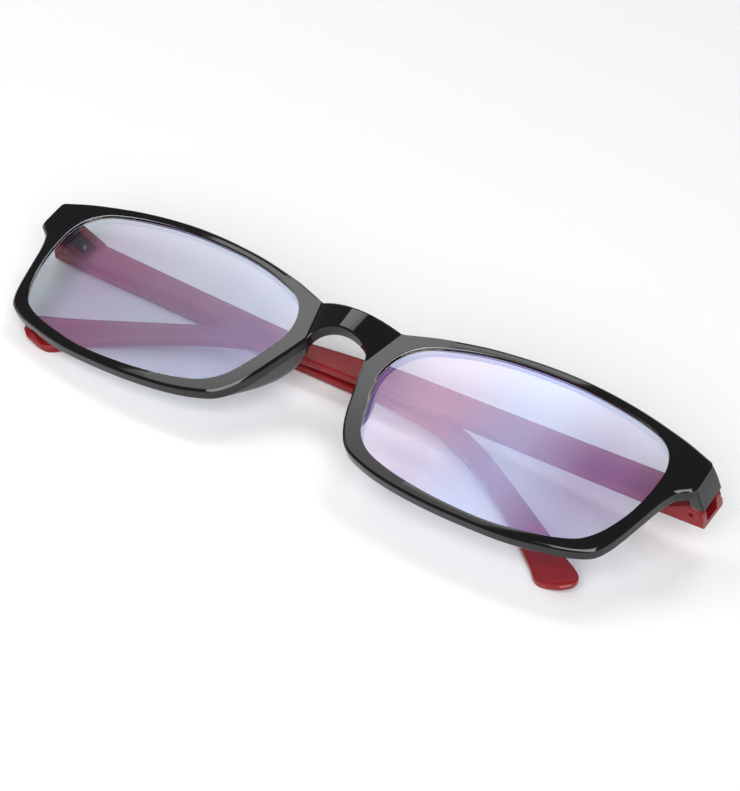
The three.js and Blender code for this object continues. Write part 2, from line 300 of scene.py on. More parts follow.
def blackNylon():
    # Transparent-grade nylon moulded in a polished tool: a hard, wet-looking black that mirrors
    # the lamps with straight edges and goes slightly softer along flow marks.
    material, tree, place, shader = newMaterial("gloss_black_nylon")
    size = blackSizes
    flow = addNode(tree, "ShaderNodeTexNoise", values={
        "Scale": 1 / (size["flowLength"] * mm), "Detail": 2.0}, links={"Vector": place})
    tone = addNode(tree, "ShaderNodeMix", {"data_type": "RGBA"}, {
        6: linear(size["colour"]), 7: linear(size["flow"])}, {0: flow.outputs["Fac"]})
    polish = addNode(tree, "ShaderNodeMapRange", values={
        "To Min": size["roughness"][0], "To Max": size["roughness"][1]}, links={
            "Value": flow.outputs["Fac"]})
    ripple = addNode(tree, "ShaderNodeTexNoise", values={
        "Scale": 1 / (size["ripple"] * mm), "Detail": 1.0}, links={"Vector": place})
    bump = addNode(tree, "ShaderNodeBump", values={
        "Strength": 0.12, "Distance": size["rippleHeight"] * mm}, links={"Height": ripple.outputs["Fac"]})
    tree.links.new(tone.outputs[2], shader.inputs["Base Color"])
    tree.links.new(polish.outputs["Result"], shader.inputs["Roughness"])
    tree.links.new(bump.outputs["Normal"], shader.inputs["Normal"])
    setShader(shader, IOR=1.53, Specular_IOR_Level=size["shine"])
    return material


redSizes = {
    "colour": "#82151a", "deep": "#731115",
    "cloud": 14.0,                   # mm, slow change of depth in the dyed plastic
    "grain": 0.35,                   # mm, fine tool texture
    "grainHeight": 0.004,
    "roughness": (0.2, 0.29),
    "shine": 0.3,
}


def redNylon():
    # The same nylon dyed deep red, from a finely blasted tool: a satin gloss, with lamps as soft bands.
    material, tree, place, shader = newMaterial("satin_red_nylon")
    size = redSizes
    cloud = addNode(tree, "ShaderNodeTexNoise", values={
        "Scale": 1 / (size["cloud"] * mm), "Detail": 2.0}, links={"Vector": place})
    tone = addNode(tree, "ShaderNodeMix", {"data_type": "RGBA"}, {
        6: linear(size["colour"]), 7: linear(size["deep"])}, {0: cloud.outputs["Fac"]})
    grain = addNode(tree, "ShaderNodeTexNoise", values={
        "Scale": 1 / (size["grain"] * mm), "Detail": 2.0}, links={"Vector": place})
    satin = addNode(tree, "ShaderNodeMapRange", values={
        "To Min": size["roughness"][0], "To Max": size["roughness"][1]}, links={
            "Value": grain.outputs["Fac"]})
    bump = addNode(tree, "ShaderNodeBump", values={
        "Strength": 0.25, "Distance": size["grainHeight"] * mm}, links={"Height": grain.outputs["Fac"]})
    tree.links.new(tone.outputs[2], shader.inputs["Base Color"])
    tree.links.new(satin.outputs["Result"], shader.inputs["Roughness"])
    tree.links.new(bump.outputs["Normal"], shader.inputs["Normal"])
    setShader(shader, IOR=1.53, Specular_IOR_Level=size["shine"], Subsurface_Weight=0.04,
              Subsurface_Scale=0.8 * mm)
    return material


lensLook = {
    "tint": "#f4f8ff",
    "index": 1.56,
    "filmThickness": 140.0,          # nm, gives the blue-violet bloom
    "filmIndex": 2.1,
    "smear": 22.0,                   # mm, size of a wiping smear
    "roughness": (0.0, 0.018),
}


def coatedPlastic():
    # Clear 1.56 lens plastic under a multi-layer coat that turns blue light back: nearly colourless
    # to look through, with a blue-violet bloom wherever a lamp mirrors in it.
    material, tree, place, shader = newMaterial("coated_lens_plastic")
    size = lensLook
    smear = addNode(tree, "ShaderNodeTexNoise", values={
        "Scale": 1 / (size["smear"] * mm), "Detail": 3.0}, links={"Vector": place})
    polish = addNode(tree, "ShaderNodeMapRange", values={
        "To Min": size["roughness"][0], "To Max": size["roughness"][1]}, links={
            "Value": smear.outputs["Fac"]})
    tree.links.new(polish.outputs["Result"], shader.inputs["Roughness"])
    setShader(shader, Base_Color=linear(size["tint"]), IOR=size["index"], Transmission_Weight=1.0,
              Thin_Film_Thickness=size["filmThickness"], Thin_Film_IOR=size["filmIndex"])
    return material


# Painted highlight: whitish colour for the thin lines along the lens edges, where the lamps' catch lights
# would be.
edgeHighlightLook = {
    "dark": "#c9cbd8", "light": "#f0f1f6",
    "grit": 0.25,                    # mm
    "roughness": 0.5,
}


def paintedEdgeHighlight():
    # Painted highlight: a matt, whitish colour, uneven at the size of a grinding grit, that stands in for
    # the bright lines where the lamps catch the lens edges.
    size = edgeHighlightLook
    material, tree, place, shader = newMaterial("ground_lens_edge")
    grit = addNode(tree, "ShaderNodeTexNoise", values={"Scale": 1 / (size["grit"] * mm)}, links={
        "Vector": place})
    tone = addNode(tree, "ShaderNodeMix", {"data_type": "RGBA"}, {
        6: linear(size["dark"]), 7: linear(size["light"])}, {0: grit.outputs["Fac"]})
    tree.links.new(tone.outputs[2], shader.inputs["Base Color"])
    setShader(shader, Roughness=size["roughness"], IOR=1.5)
    return material


steelLook = {
    "colour": "#b9b8b4",
    "marks": 0.12,                   # mm, fine marks of turning and plating
    "roughness": (0.18, 0.34),
}


def turnedSteel():
    # Bright nickel-plated steel, turned: nearly a mirror, broken up by fine marks.
    material, tree, place, shader = newMaterial("turned_screw_steel")
    size = steelLook
    marks = addNode(tree, "ShaderNodeTexNoise", values={"Scale": 1 / (size["marks"] * mm)}, links={
        "Vector": place})
    satin = addNode(tree, "ShaderNodeMapRange", values={
        "To Min": size["roughness"][0], "To Max": size["roughness"][1]}, links={
            "Value": marks.outputs["Fac"]})
    tree.links.new(satin.outputs["Result"], shader.inputs["Roughness"])
    setShader(shader, Base_Color=linear(size["colour"]), Metallic=1.0)
    return material


blackPlastic = blackNylon()
redPlastic = redNylon()
lensPlastic = coatedPlastic()
# the lens-edge colour is a painted highlight for the thin lines at the lens edges
lensEdgeHighlight = paintedEdgeHighlight()
screwSteel = turnedSteel()
print("materials ready")

# Front: one black moulding of two rims, a bridge, nose pads, end pieces and hinge tongues

frontSizes = {
    "depth": 2.4,                    # front face to rear face
    "chamfer": (0.4, 0.4),           # broken edge round the front face: width and drop
    "innerChamfer": (0.32, 0.2),
    "backRound": 0.3,
    "wrap": 0.00054,                 # the face falls back by wrap * x * x
    "lensCentre": (36.0, -1.0),
    "padDepth": 4.6,                 # how far the moulded nose pad stands behind the rim
    "padFlare": 1.2,                 # and leans outwards
    "padReach": 20.0,                # no pad further than this from the middle
    "padTop": (5.0, 6.5),            # height where it starts and over which it grows
    "padBottom": (-15.5, 13.0),      # height where it ends and over which it fades
    "padCrest": 0.38,                # width of its crest, as a share of the rim's width
    "padFoot": 0.3,                  # where it leaves the rear face, as a share of it
    "stations": 220,
    "bridgeRise": 2.0,
    "bridgeThickness": 2.6,
    "bridgePast": 1.07,              # it runs on into the rims, as a share of the way to the crease
    "bridgeSections": 40,            # on each side of its middle
    "archHeight": 5.35,
    "archPower": 0.6,                # below 1, so the arch is rounder than a parabola
    # end piece's sections from front to back: depth, inner side, outer side, low, high
    "endSections": (
        (-2.9, 65.9, 67.75, 4.95, 10.75), (-3.4, 66.0, 67.95, 4.95, 10.8), (-5.5, 66.1, 68.4, 5.0, 10.95),
        (-8.0, 66.25, 68.78, 5.1, 11.0), (-8.3, 66.5, 68.6, 5.3, 10.8),
    ),
    "endRound": (0.25, 0.4),         # its inner and outer corners
    "cornerSize": 0.7,               # soft corners of the end piece, in front view
}
creaseLow, creaseHigh = (5.8, 2.0), (8.0, 10.15)
opening = [
    (9.3, 2), (10.3, 6.2), (13, 9.4), (18.7, 11.8), (25.8, 13.5), (33.3, 14.25), (41, 14.45), (48, 13.9),
    (54, 12.9), (58, 11.6), (60.8, 9.2), (62.1, 6.2), (62.3, 2.5), (61.8, -2.6), (60.7, -6.6), (59, -10.2),
    (57, -12.5), (53.6, -14.2), (48.5, -15.6), (42.5, -16.7), (35, -16.9), (28, -16.45), (21.5, -15.4),
    (16.8, -13.7), (13.8, -11), (11.4, -6), (9.9, -1.6),
]
brow = [
    creaseHigh, (11.5, 11.35), (14.7, 12.4), (18.1, 13.25), (23.4, 14.4), (28.8, 15.15), (34.3, 15.65),
    (40, 15.8), (46, 15.5), (52, 14.8), (58.3, 13.6), (62.5, 12.6), (67.8, 10.9),
]
underside = [
    (68, 4.8), (67.3, 4.25), (66.2, 3.5), (65.4, 2.8), (64.8, 1.6), (64.2, 0), (63.2, -4), (62.1, -8.4),
    (61.3, -10.9), (60, -13.2), (57.4, -14.8), (52.4, -16.3), (46, -17.6), (38, -18.15), (30, -18.15),
    (22.6, -17.5), (17.5, -16.4), (13.6, -14.8), (11.3, -12.2), (9.5, -8.8), (8.1, -4.9), (6.7, -0.9),
    creaseLow,
]
openingLine = through(opening, 320, closed=True)[:-1]
outerLine = softJoin(through(brow, 160), through(underside, 260), frontSizes["cornerSize"])
outerChamferLine = inset(outerLine, frontSizes["chamfer"][0])
innerChamferLine = inset(openingLine, -frontSizes["innerChamfer"][0])


def angleOf(point):
    return math.atan2(point[1] - frontSizes["lensCentre"][1], point[0] - frontSizes["lensCentre"][0])


def reach(line, angle):
    # Distance from the lens centre to a closed line in the direction of an angle.
    a = np.array(line) - frontSizes["lensCentre"]
    edge = np.roll(a, -1, axis=0) - a
    direction = np.array((math.cos(angle), math.sin(angle)))
    det = edge[:, 0] * direction[1] - edge[:, 1] * direction[0]
    det[np.abs(det) < 1e-12] = 1e-12
    far = (a[:, 1] * edge[:, 0] - a[:, 0] * edge[:, 1]) / det
    part = (direction[0] * a[:, 1] - direction[1] * a[:, 0]) / det
    return far[(part > -1e-9) & (part < 1 + 1e-9) & (far > 0)].max()


def stationAngles():
    fixed = [angleOf(p) for p in (creaseLow, creaseHigh)]
    count = frontSizes["stations"]
    spread = [angleOf(p) for line in (openingLine, outerLine) for p in evenly(line, count)]
    kept = sorted(fixed)
    least = math.radians(0.35)
    for angle in sorted(spread):
        if all(abs(angle - other) > least for other in kept):
            kept.append(angle)
    return sorted(kept)


angles = stationAngles()


def fallen(x, y, z):
    # A point of the front after the wrap.
    return (x, y, z - frontSizes["wrap"] * x * x)


def padStand(x, y):
    size = frontSizes
    if x > size["padReach"]:
        return 0.0
    (top, growth), (bottom, fade) = size["padTop"], size["padBottom"]
    return size["padDepth"] * smooth((top - y) / growth) * smooth((y - bottom) / fade)


def rimSection(angle):
    size = frontSizes
    inner, outer = reach(openingLine, angle), reach(outerLine, angle)
    width = outer - inner
    cx, cy = size["lensCentre"]
    cos, sin = math.cos(angle), math.sin(angle)
    stand = padStand(cx + cos * outer, cy + sin * outer)
    flare = size["padFlare"] * stand / size["padDepth"]
    depth, back = size["depth"], size["backRound"]
    faceEnd, drop = reach(outerChamferLine, angle) - inner, size["chamfer"][1]
    faceStart, innerDrop = reach(innerChamferLine, angle) - inner, size["innerChamfer"][1]
    crest = width - back - flare
    soft = 0.25 + 0.3 * stand
    profile = [
        (faceStart, 0, 0.05), (0, -innerDrop, 0.05), (0, -depth, back),
        (size["padFoot"] * width, -depth, soft),
        (crest - size["padCrest"] * width, -depth - stand, soft), (crest, -depth - stand, soft),
        (width - 0.15 * flare, back - depth, 0.2), (width, -drop, 0.07), (faceEnd, 0, 0.05),
    ]
    return [fallen(cx + cos * (inner + u), cy + sin * (inner + u), v) for u, v in softened(profile)]


def bridgeSection(t):
    size = frontSizes
    inside = max(0.0, 1 - t * t)
    low = creaseLow[1] + (size["archHeight"] - creaseLow[1]) * inside ** size["archPower"]
    rise = size["bridgeRise"] * (1 - t * t)
    slope = (creaseHigh[0] - creaseLow[0]) / (creaseHigh[1] - creaseLow[1])
    back, high = size["bridgeThickness"], creaseHigh[1]
    wide, drop = size["innerChamfer"]
    profile = [
        (low, -drop, 0.05), (low + wide, 0, 0.05), (high - wide, 0, 0.05), (high, -drop, 0.05),
        (high, -back, 0.4), (low, -back, 0.5),
    ]
    points = []
    for y, z in softened(profile, 4):
        points.append(fallen(t * (creaseLow[0] + (y - creaseLow[1]) * slope), y, z + rise))
    return points


def along(profile, low, high, edge=0.12):
    # A solid of a closed (outboard, forward) profile between two heights on the hinge axis.
    middle = np.mean([p[:2] for p in profile], axis=0)

    def ring(height, inset):
        points = np.array([p[:2] for p in profile], float)
        away = points - middle
        length = np.maximum(np.linalg.norm(away, axis=1, keepdims=True), 1e-9)
        points = points - away / length * inset
        return [(u, height, v) for u, v in points]

    return loft([ring(low, edge), ring(low + edge, 0), ring(high - edge, 0), ring(high, edge)])


def arc(radius, first, last, steps, centre=(0, 0)):
    turns = np.radians(np.linspace(first, last, steps + 1))
    return [(centre[0] + radius * math.cos(a), centre[1] + radius * math.sin(a)) for a in turns]


def rod(radius, low, high, sides=48):
    rings = [[(u, h, v) for u, v in arc(radius, 0, 360 - 360 / sides, sides - 1)] for h in (low, high)]
    return loft(rings)


def endPieceShape():
    # The side wall that runs back to the hinge, as rounded sections from front to back.
    rings = []
    small, large = frontSizes["endRound"]
    for z, xIn, xOut, low, high in frontSizes["endSections"]:
        profile = [(xIn, low, small), (xOut, low, large), (xOut - 0.05, high, large), (xIn, high, small)]
        rings.append([(u, v, z) for u, v in softened(profile, 4)])
    return loft(rings)


def tongueProfile():
    size = hingeSizes
    r, hook, bevel = size["tongueRadius"], size["hookReach"], size["hookRound"]
    frontRoot, frontEnd, rearEnd, rearRoot = size["hookSides"]
    return ([(r, size["tongueRoot"]), (-r, size["tongueRoot"]), (-r, frontRoot), (-hook + bevel, frontEnd),
             (-hook, frontEnd - 1.1 * bevel), (-hook, rearEnd + 1.1 * bevel), (-hook + bevel, rearEnd),
             (-r, rearRoot)] + arc(r, 203, 360, 14))


def halfFront(mirror):
    tongueSpace = (Matrix.Translation(hingeSizes["pin"])
                   @ Matrix.Rotation(-math.radians(hingeSizes["lean"]), 4, "X"))
    half = solidMesh("half", loft([rimSection(a) for a in angles], closed=True))
    half = combined(half, solidMesh("wall", endPieceShape()), "UNION")
    half = combined(half, solidMesh("tongue", along(tongueProfile(), *hingeSizes["tongueSpan"]),
                                    tongueSpace), "UNION")
    bore = solidMesh("bore", rod(hingeSizes["bore"], *hingeSizes["boreSpan"]), tongueSpace)
    half = combined(half, bore, "DIFFERENCE")
    if mirror:
        half.data.transform(Matrix.Diagonal((-1, 1, 1, 1)))
        half.data.flip_normals()
    return half


def buildFront():
    past, steps = frontSizes["bridgePast"], frontSizes["bridgeSections"]
    front = halfFront(False)
    front = combined(front, halfFront(True), "UNION")
    sections = [bridgeSection(past * k / steps) for k in range(-steps, steps + 1)]
    front = combined(front, solidMesh("bridge", loft(sections)), "UNION")
    front.name = "front_moulding"
    front.data.transform(frontSpace)
    creased(front)
    return ready(front, blackPlastic, "black_plastic", "front", "front_frame")


frontMoulding = buildFront()
print("front ready", len(frontMoulding.data.vertices))

# Lenses, with the ground edge that sits in the groove

lensSizes = {
    "front": 0.5,                    # front surface behind the rim's face
    "thickness": 1.55,
    "dome": 0.0006,                  # extra crown of the front surface
    "seat": 0.28,                    # how far the edge reaches into the moulding's groove
    "edgeBreak": 0.12,
    "rings": 10,
}


def lensPoint(angle, share, extra, depth):
    cx, cy = frontSizes["lensCentre"]
    r = reach(openingLine, angle) * share + extra
    x, y = cx + math.cos(angle) * r, cy + math.sin(angle) * r
    crown = lensSizes["dome"] * ((x - cx) ** 2 + (y - cy) ** 2)
    return (x, y, -depth - frontSizes["wrap"] * x * x - crown + 0.35)


def lensShape():
    size = lensSizes
    front, back = size["front"], size["front"] + size["thickness"]
    rings = []
    for k in range(1, size["rings"]):
        rings.append([lensPoint(a, k / size["rings"], 0, front) for a in angles])
    seat, broken = size["seat"], size["edgeBreak"]
    for extra, depth in ((seat - broken, front), (seat, front + broken), (seat, back - broken),
                         (seat - broken, back)):
        rings.append([lensPoint(a, 1, extra, depth) for a in angles])
    for k in range(size["rings"] - 1, 0, -1):
        rings.append([lensPoint(a, k / size["rings"], 0, back) for a in angles])
    return loft(rings)


def buildLens(side, name):
    lens = solidMesh(name, lensShape(), frontSpace, mirror=side < 0)
    creased(lens, 30)
    word = "right" if side > 0 else "left"
    return ready(lens, lensPlastic, "coated_lens", "front", word + "_lens")


for side, name in ((1, "right_lens_blank"), (-1, "left_lens_blank")):
    buildLens(side, name)
print("lenses ready")

# Temples: a bowed blade with a drop tip and two ears round the hinge tongue

templeSizes = {
    "top": 2.84, "low": -3.5,        # blade's edges at the hinge
    "inner": 0.6,                    # inner face outwards from the pin
    "thickness": 1.97,
    "taper": 0.38,                   # thickness lost per 100 mm
    "bow": (0.5, 4.85),              # inward bow: second and third power of s / 100 mm
    "straight": 20.0,
    "edge": 0.45,
    "earLength": 5.4,
    "earBuried": 1.2,                # how deep the ears' block is sunk into the blade
    "tipStart": 0.935,               # share of the length where the end starts to round off
    "tipThin": 0.72,
    "tipSlim": 0.22,
    "stations": 190,
    "bossRadius": 1.8,               # round boss under the lower ear, round the pin hole
    "bossHeight": 0.06,
    "pinHole": 0.45,
    "pinHoleSpan": (-5.0, -2.9),
    "crowding": 1.35,                # above 1, sections stand closer together towards the tip
    "screwBore": 1.3,
    "screwHead": 0.5,
}
templeUpper = [
    (-2.1, 2.84), (6, 2.84), (20, 2.85), (40, 2.72), (60, 2.2), (72, 1.05), (82, -0.9), (92, -4.7),
    (101, -9.7), (110, -15.2), (117, -19.5), (120.8, -21.7), (122.2, -23), (122.3, -24.8),
]
templeUnder = [
    (-2.1, -3.5), (6, -3.48), (20, -3.22), (40, -3.1), (60, -3.05), (70, -3.3), (78, -4), (86, -6.1),
    (94, -9.9), (102, -15.05), (108.5, -19.9), (113.5, -24), (116.2, -26.3), (120.6, -26.1),
]


def bowAt(s):
    square, cube = templeSizes["bow"]
    start, u = templeSizes["straight"] / 100, max(s, templeSizes["straight"]) / 100
    return square * (start ** 2 - u ** 2) + cube * (start ** 3 - u ** 3)


def bladeShape():
    size = templeSizes
    rings = []
    for k in range(size["stations"] + 1):
        u = 1 - (1 - k / size["stations"]) ** size["crowding"]
        upper, under = splineAt(templeUpper, u), splineAt(templeUnder, u)
        width = np.linalg.norm(under - upper)
        along0 = (under - upper) / width
        ending = max(0.0, (u - size["tipStart"]) / (1 - size["tipStart"]))
        rounded = 1 - math.sqrt(max(0.0, 1 - ending ** 2))
        thin = size["tipThin"] * rounded
        slim = 1 - size["tipSlim"] * rounded
        thick = size["thickness"] - size["taper"] * max(0, upper[0] - size["straight"]) / 100
        edge = size["edge"] * (1 - 0.4 * rounded)
        profile = [
            (0, thin, edge), (width, thin, edge), (width, thick - thin, edge), (0, thick - thin, edge),
        ]
        ring = []
        for across, through0 in softened(profile, 5):
            s, y = upper + along0 * (width / 2 + (across - width / 2) * slim)
            ring.append((-s, y, -(size["inner"] + bowAt(s) + through0)))
        rings.append(ring)
    return loft(rings)


def earProfile():
    buried = -(templeSizes["inner"] + templeSizes["earBuried"])
    r, length = hingeSizes["earRadius"] - 0.01, templeSizes["earLength"]
    return ([(r, buried), (r, 0)] + arc(r, 4, 112, 24)
            + [(-length, -templeSizes["inner"]), (-length, buried)])


def slotProfile():
    size = hingeSizes
    r, hook = size["tongueRadius"] + size["clearance"], size["hookReach"] + size["clearance"]
    return ([(5, -r), (5, 5), (-8, 5), (-8, 0.5), (-hook, -0.2), (-hook, -1.1), (-1.2, -1.3)]
            + arc(r, 229, 270, 8))


def buildTemple(side, name):
    size = templeSizes
    low, high = hingeSizes["tongueSpan"]
    gap = hingeSizes["clearance"]
    blade = solidMesh(name, bladeShape())
    blade = combined(blade, solidMesh("ears", along(earProfile(), size["low"], size["top"], 0.3)), "UNION")
    cuts = (
        along(slotProfile(), low - gap, high + gap, 0.02),
        rod(hingeSizes["bore"], *hingeSizes["earBoreSpan"]),
        rod(size["pinHole"], *size["pinHoleSpan"]),
        rod(size["screwBore"], size["top"] - size["screwHead"] - 2 * gap,
            hingeSizes["earBoreSpan"][1]),
    )
    boss = rod(size["bossRadius"], size["low"] - size["bossHeight"], size["low"] + 0.5)
    blade = combined(blade, solidMesh("boss", boss, Matrix.Translation((0, 0, -0.3))), "UNION")
    for cut in cuts:
        blade = combined(blade, solidMesh("cut", cut), "DIFFERENCE")
    blade.data.transform(hingeSpace(side))
    if side < 0:
        blade.data.flip_normals()
    creased(blade)
    word = "right" if side > 0 else "left"
    return ready(blade, redPlastic, "red_plastic", word + "_arm", word + "_temple")


for side, name in ((1, "right_temple_blade"), (-1, "left_temple_blade")):
    buildTemple(side, name)
print("temples ready")

# Screws, and the painted highlight lines along the lens edges, made by node trees

screwSizes = {
    "Shank Radius": 0.58, "Shank Length": 4.6, "Head Radius": 1.0, "Head Height": 0.5,
    "Slot Width": 0.26, "Slot Depth": 0.24, "Thread Radius": 0.075, "Thread Pitch": 0.36,
}
screwTop = templeSizes["top"] - hingeSizes["clearance"]


def newTree(name, sizes):
    # A modifier's node tree with named inputs for its sizes, and its group input and output.
    tree = bpy.data.node_groups.new(name, "GeometryNodeTree")
    tree.interface.new_socket("Geometry", in_out="INPUT", socket_type="NodeSocketGeometry")
    for label, value in sizes.items():
        entry = tree.interface.new_socket(label, in_out="INPUT", socket_type="NodeSocketFloat")
        entry.default_value = value
    tree.interface.new_socket("Material", in_out="INPUT", socket_type="NodeSocketMaterial")
    tree.interface.new_socket("Geometry", in_out="OUTPUT", socket_type="NodeSocketGeometry")
    return tree, addNode(tree, "NodeGroupInput").outputs


def endTree(tree, shape, inputs):
    real = addNode(tree, "GeometryNodeRealizeInstances", links={"Geometry": shape})
    painted = addNode(tree, "GeometryNodeSetMaterial", links={
        "Geometry": real.outputs["Geometry"], "Material": inputs["Material"]})
    addNode(tree, "NodeGroupOutput", links={"Geometry": painted.outputs["Geometry"]})


def screwTree():
    # A slotted head on a threaded shank, standing on z with the head's top at 0.
    tree, size = newTree("hinge_screw", screwSizes)
    shank = addNode(tree, "GeometryNodeMeshCylinder", values={"Vertices": 40}, links={
        "Radius": size["Shank Radius"], "Depth": size["Shank Length"]})
    whole = addNode(tree, "ShaderNodeMath", {"operation": "ADD"}, links={
        0: size["Shank Length"], 1: size["Head Height"]})
    shankMiddle = addNode(tree, "ShaderNodeMath", {"operation": "MULTIPLY"}, {1: -0.5}, {
        0: whole.outputs["Value"]})
    shankDown = addNode(tree, "ShaderNodeCombineXYZ", links={"Z": shankMiddle.outputs["Value"]})
    shankPlaced = addNode(tree, "GeometryNodeTransform", links={
        "Geometry": shank.outputs["Mesh"], "Translation": shankDown.outputs["Vector"]})
    head = addNode(tree, "GeometryNodeMeshCylinder", values={"Vertices": 56}, links={
        "Radius": size["Head Radius"], "Depth": size["Head Height"]})
    headMiddle = addNode(tree, "ShaderNodeMath", {"operation": "MULTIPLY"}, {1: -0.5}, {
        0: size["Head Height"]})
    headDown = addNode(tree, "ShaderNodeCombineXYZ", links={"Z": headMiddle.outputs["Value"]})
    headPlaced = addNode(tree, "GeometryNodeTransform", links={
        "Geometry": head.outputs["Mesh"], "Translation": headDown.outputs["Vector"]})
    slotLength = addNode(tree, "ShaderNodeMath", {"operation": "MULTIPLY"}, {1: 3.0}, {
        0: size["Head Radius"]})
    slotHeight = addNode(tree, "ShaderNodeMath", {"operation": "MULTIPLY"}, {1: 2.0}, {
        0: size["Slot Depth"]})
    slotSize = addNode(tree, "ShaderNodeCombineXYZ", links={
        "X": slotLength.outputs["Value"], "Y": size["Slot Width"], "Z": slotHeight.outputs["Value"]})
    cutter = addNode(tree, "GeometryNodeMeshCube", links={"Size": slotSize.outputs["Vector"]})
    slotted = addNode(tree, "GeometryNodeMeshBoolean", {"operation": "DIFFERENCE"}, links={
        "Mesh 1": headPlaced.outputs["Geometry"], "Mesh 2": cutter.outputs["Mesh"]})
    threaded = addNode(tree, "ShaderNodeMath", {"operation": "MULTIPLY"}, {1: 0.8}, {
        0: size["Shank Length"]})
    turns = addNode(tree, "ShaderNodeMath", {"operation": "DIVIDE"}, links={
        0: threaded.outputs["Value"], 1: size["Thread Pitch"]})
    step = addNode(tree, "ShaderNodeMath", {"operation": "MULTIPLY"}, {1: -1.0}, {0: size["Thread Pitch"]})
    stepDown = addNode(tree, "ShaderNodeCombineXYZ", links={"Z": step.outputs["Value"]})
    start = addNode(tree, "ShaderNodeMath", {"operation": "MULTIPLY_ADD"}, {1: -2.0}, {
        0: size["Head Height"], 2: step.outputs["Value"]})
    startDown = addNode(tree, "ShaderNodeCombineXYZ", links={"Z": start.outputs["Value"]})
    row = addNode(tree, "GeometryNodeMeshLine", links={
        "Count": turns.outputs["Value"], "Start Location": startDown.outputs["Vector"],
        "Offset": stepDown.outputs["Vector"]})
    loop = addNode(tree, "GeometryNodeCurvePrimitiveCircle", values={"Resolution": 40}, links={
        "Radius": size["Shank Radius"]})
    crest = addNode(tree, "GeometryNodeCurvePrimitiveCircle", values={"Resolution": 8}, links={
        "Radius": size["Thread Radius"]})
    ridge = addNode(tree, "GeometryNodeCurveToMesh", links={
        "Curve": loop.outputs["Curve"], "Profile Curve": crest.outputs["Curve"]})
    ridges = addNode(tree, "GeometryNodeInstanceOnPoints", links={
        "Points": row.outputs["Mesh"], "Instance": ridge.outputs["Mesh"]})
    joined = addNode(tree, "GeometryNodeJoinGeometry")
    for part in (shankPlaced.outputs["Geometry"], slotted.outputs["Mesh"], ridges.outputs["Instances"]):
        tree.links.new(part, joined.inputs["Geometry"])
    endTree(tree, joined.outputs["Geometry"], size)
    return tree


highlightBeadSizes = {"Bead Radius": 0.06, "Bead Spacing": 1.5}


def highlightBeadTree():
    # Thin beads along the lens outline, one at the front edge and one at the back edge, that carry the
    # painted highlight of the lens edges.
    tree, size = newTree("lens_highlight_beads", highlightBeadSizes)
    line = addNode(tree, "GeometryNodeMeshToCurve", links={"Mesh": size["Geometry"]})
    profile = addNode(tree, "GeometryNodeCurvePrimitiveCircle", values={"Resolution": 8}, links={
        "Radius": size["Bead Radius"]})
    bead = addNode(tree, "GeometryNodeCurveToMesh", links={
        "Curve": line.outputs["Curve"], "Profile Curve": profile.outputs["Curve"]})
    step = addNode(tree, "ShaderNodeMath", {"operation": "MULTIPLY"}, {1: -1.0}, {0: size["Bead Spacing"]})
    stepDown = addNode(tree, "ShaderNodeCombineXYZ", links={"Z": step.outputs["Value"]})
    pair = addNode(tree, "GeometryNodeMeshLine", values={"Count": 2}, links={
        "Offset": stepDown.outputs["Vector"]})
    beads = addNode(tree, "GeometryNodeInstanceOnPoints", links={
        "Points": pair.outputs["Mesh"], "Instance": bead.outputs["Mesh"]})
    endTree(tree, beads.outputs["Instances"], size)
    return tree


def grown(name, tree, sizes, material, base, space, mirror=False):
    # A piece made by a node tree from a base mesh, settled and put in its place.
    mesh = bpy.data.meshes.new(name)
    mesh.from_pydata(*base)
    piece = bpy.data.objects.new(name, mesh)
    scene.collection.objects.link(piece)
    change = piece.modifiers.new("grow", "NODES")
    change.node_group = tree
    ids = {item.name: item.identifier for item in tree.interface.items_tree if item.in_out == "INPUT"}
    for label, value in sizes.items():
        change[ids[label]] = value
    change[ids["Material"]] = material
    settled(piece)
    if mirror:
        piece.data.transform(Matrix.Diagonal((-1, 1, 1, 1)))
        piece.data.flip_normals()
    piece.data.transform(space)
    return creased(piece)


screwGroup, highlightBeadGroup = screwTree(), highlightBeadTree()
for side, word in ((1, "right"), (-1, "left")):
    stand = hingeSpace(side) @ Matrix.Translation((0, screwTop, 0)) @ Matrix.Rotation(-math.pi / 2, 4, "X")
    screw = grown(word + "_screw", screwGroup, screwSizes, screwSteel, ([(0, 0, 0)], [], []), stand)
    if side < 0:
        screw.data.flip_normals()
    ready(screw, screwSteel, "screw_steel", word + "_arm", word + "_hinge_screw")
    # Painted highlight: whitish beads at the lens's front and back edges stand in for the lamps' catch
    # lights there.
    outline = [lensPoint(a, 1, -0.03, lensSizes["front"] + 0.02) for a in angles]
    loop = [(i, (i + 1) % len(outline)) for i in range(len(outline))]
    beads = grown(word + "_lens_edge", highlightBeadGroup, highlightBeadSizes, lensEdgeHighlight, (outline, loop, []), frontSpace,
                  side < 0)
    ready(beads, lensEdgeHighlight, "coated_lens", "front")
print("screws and lens edges ready")

# Light, floor and camera

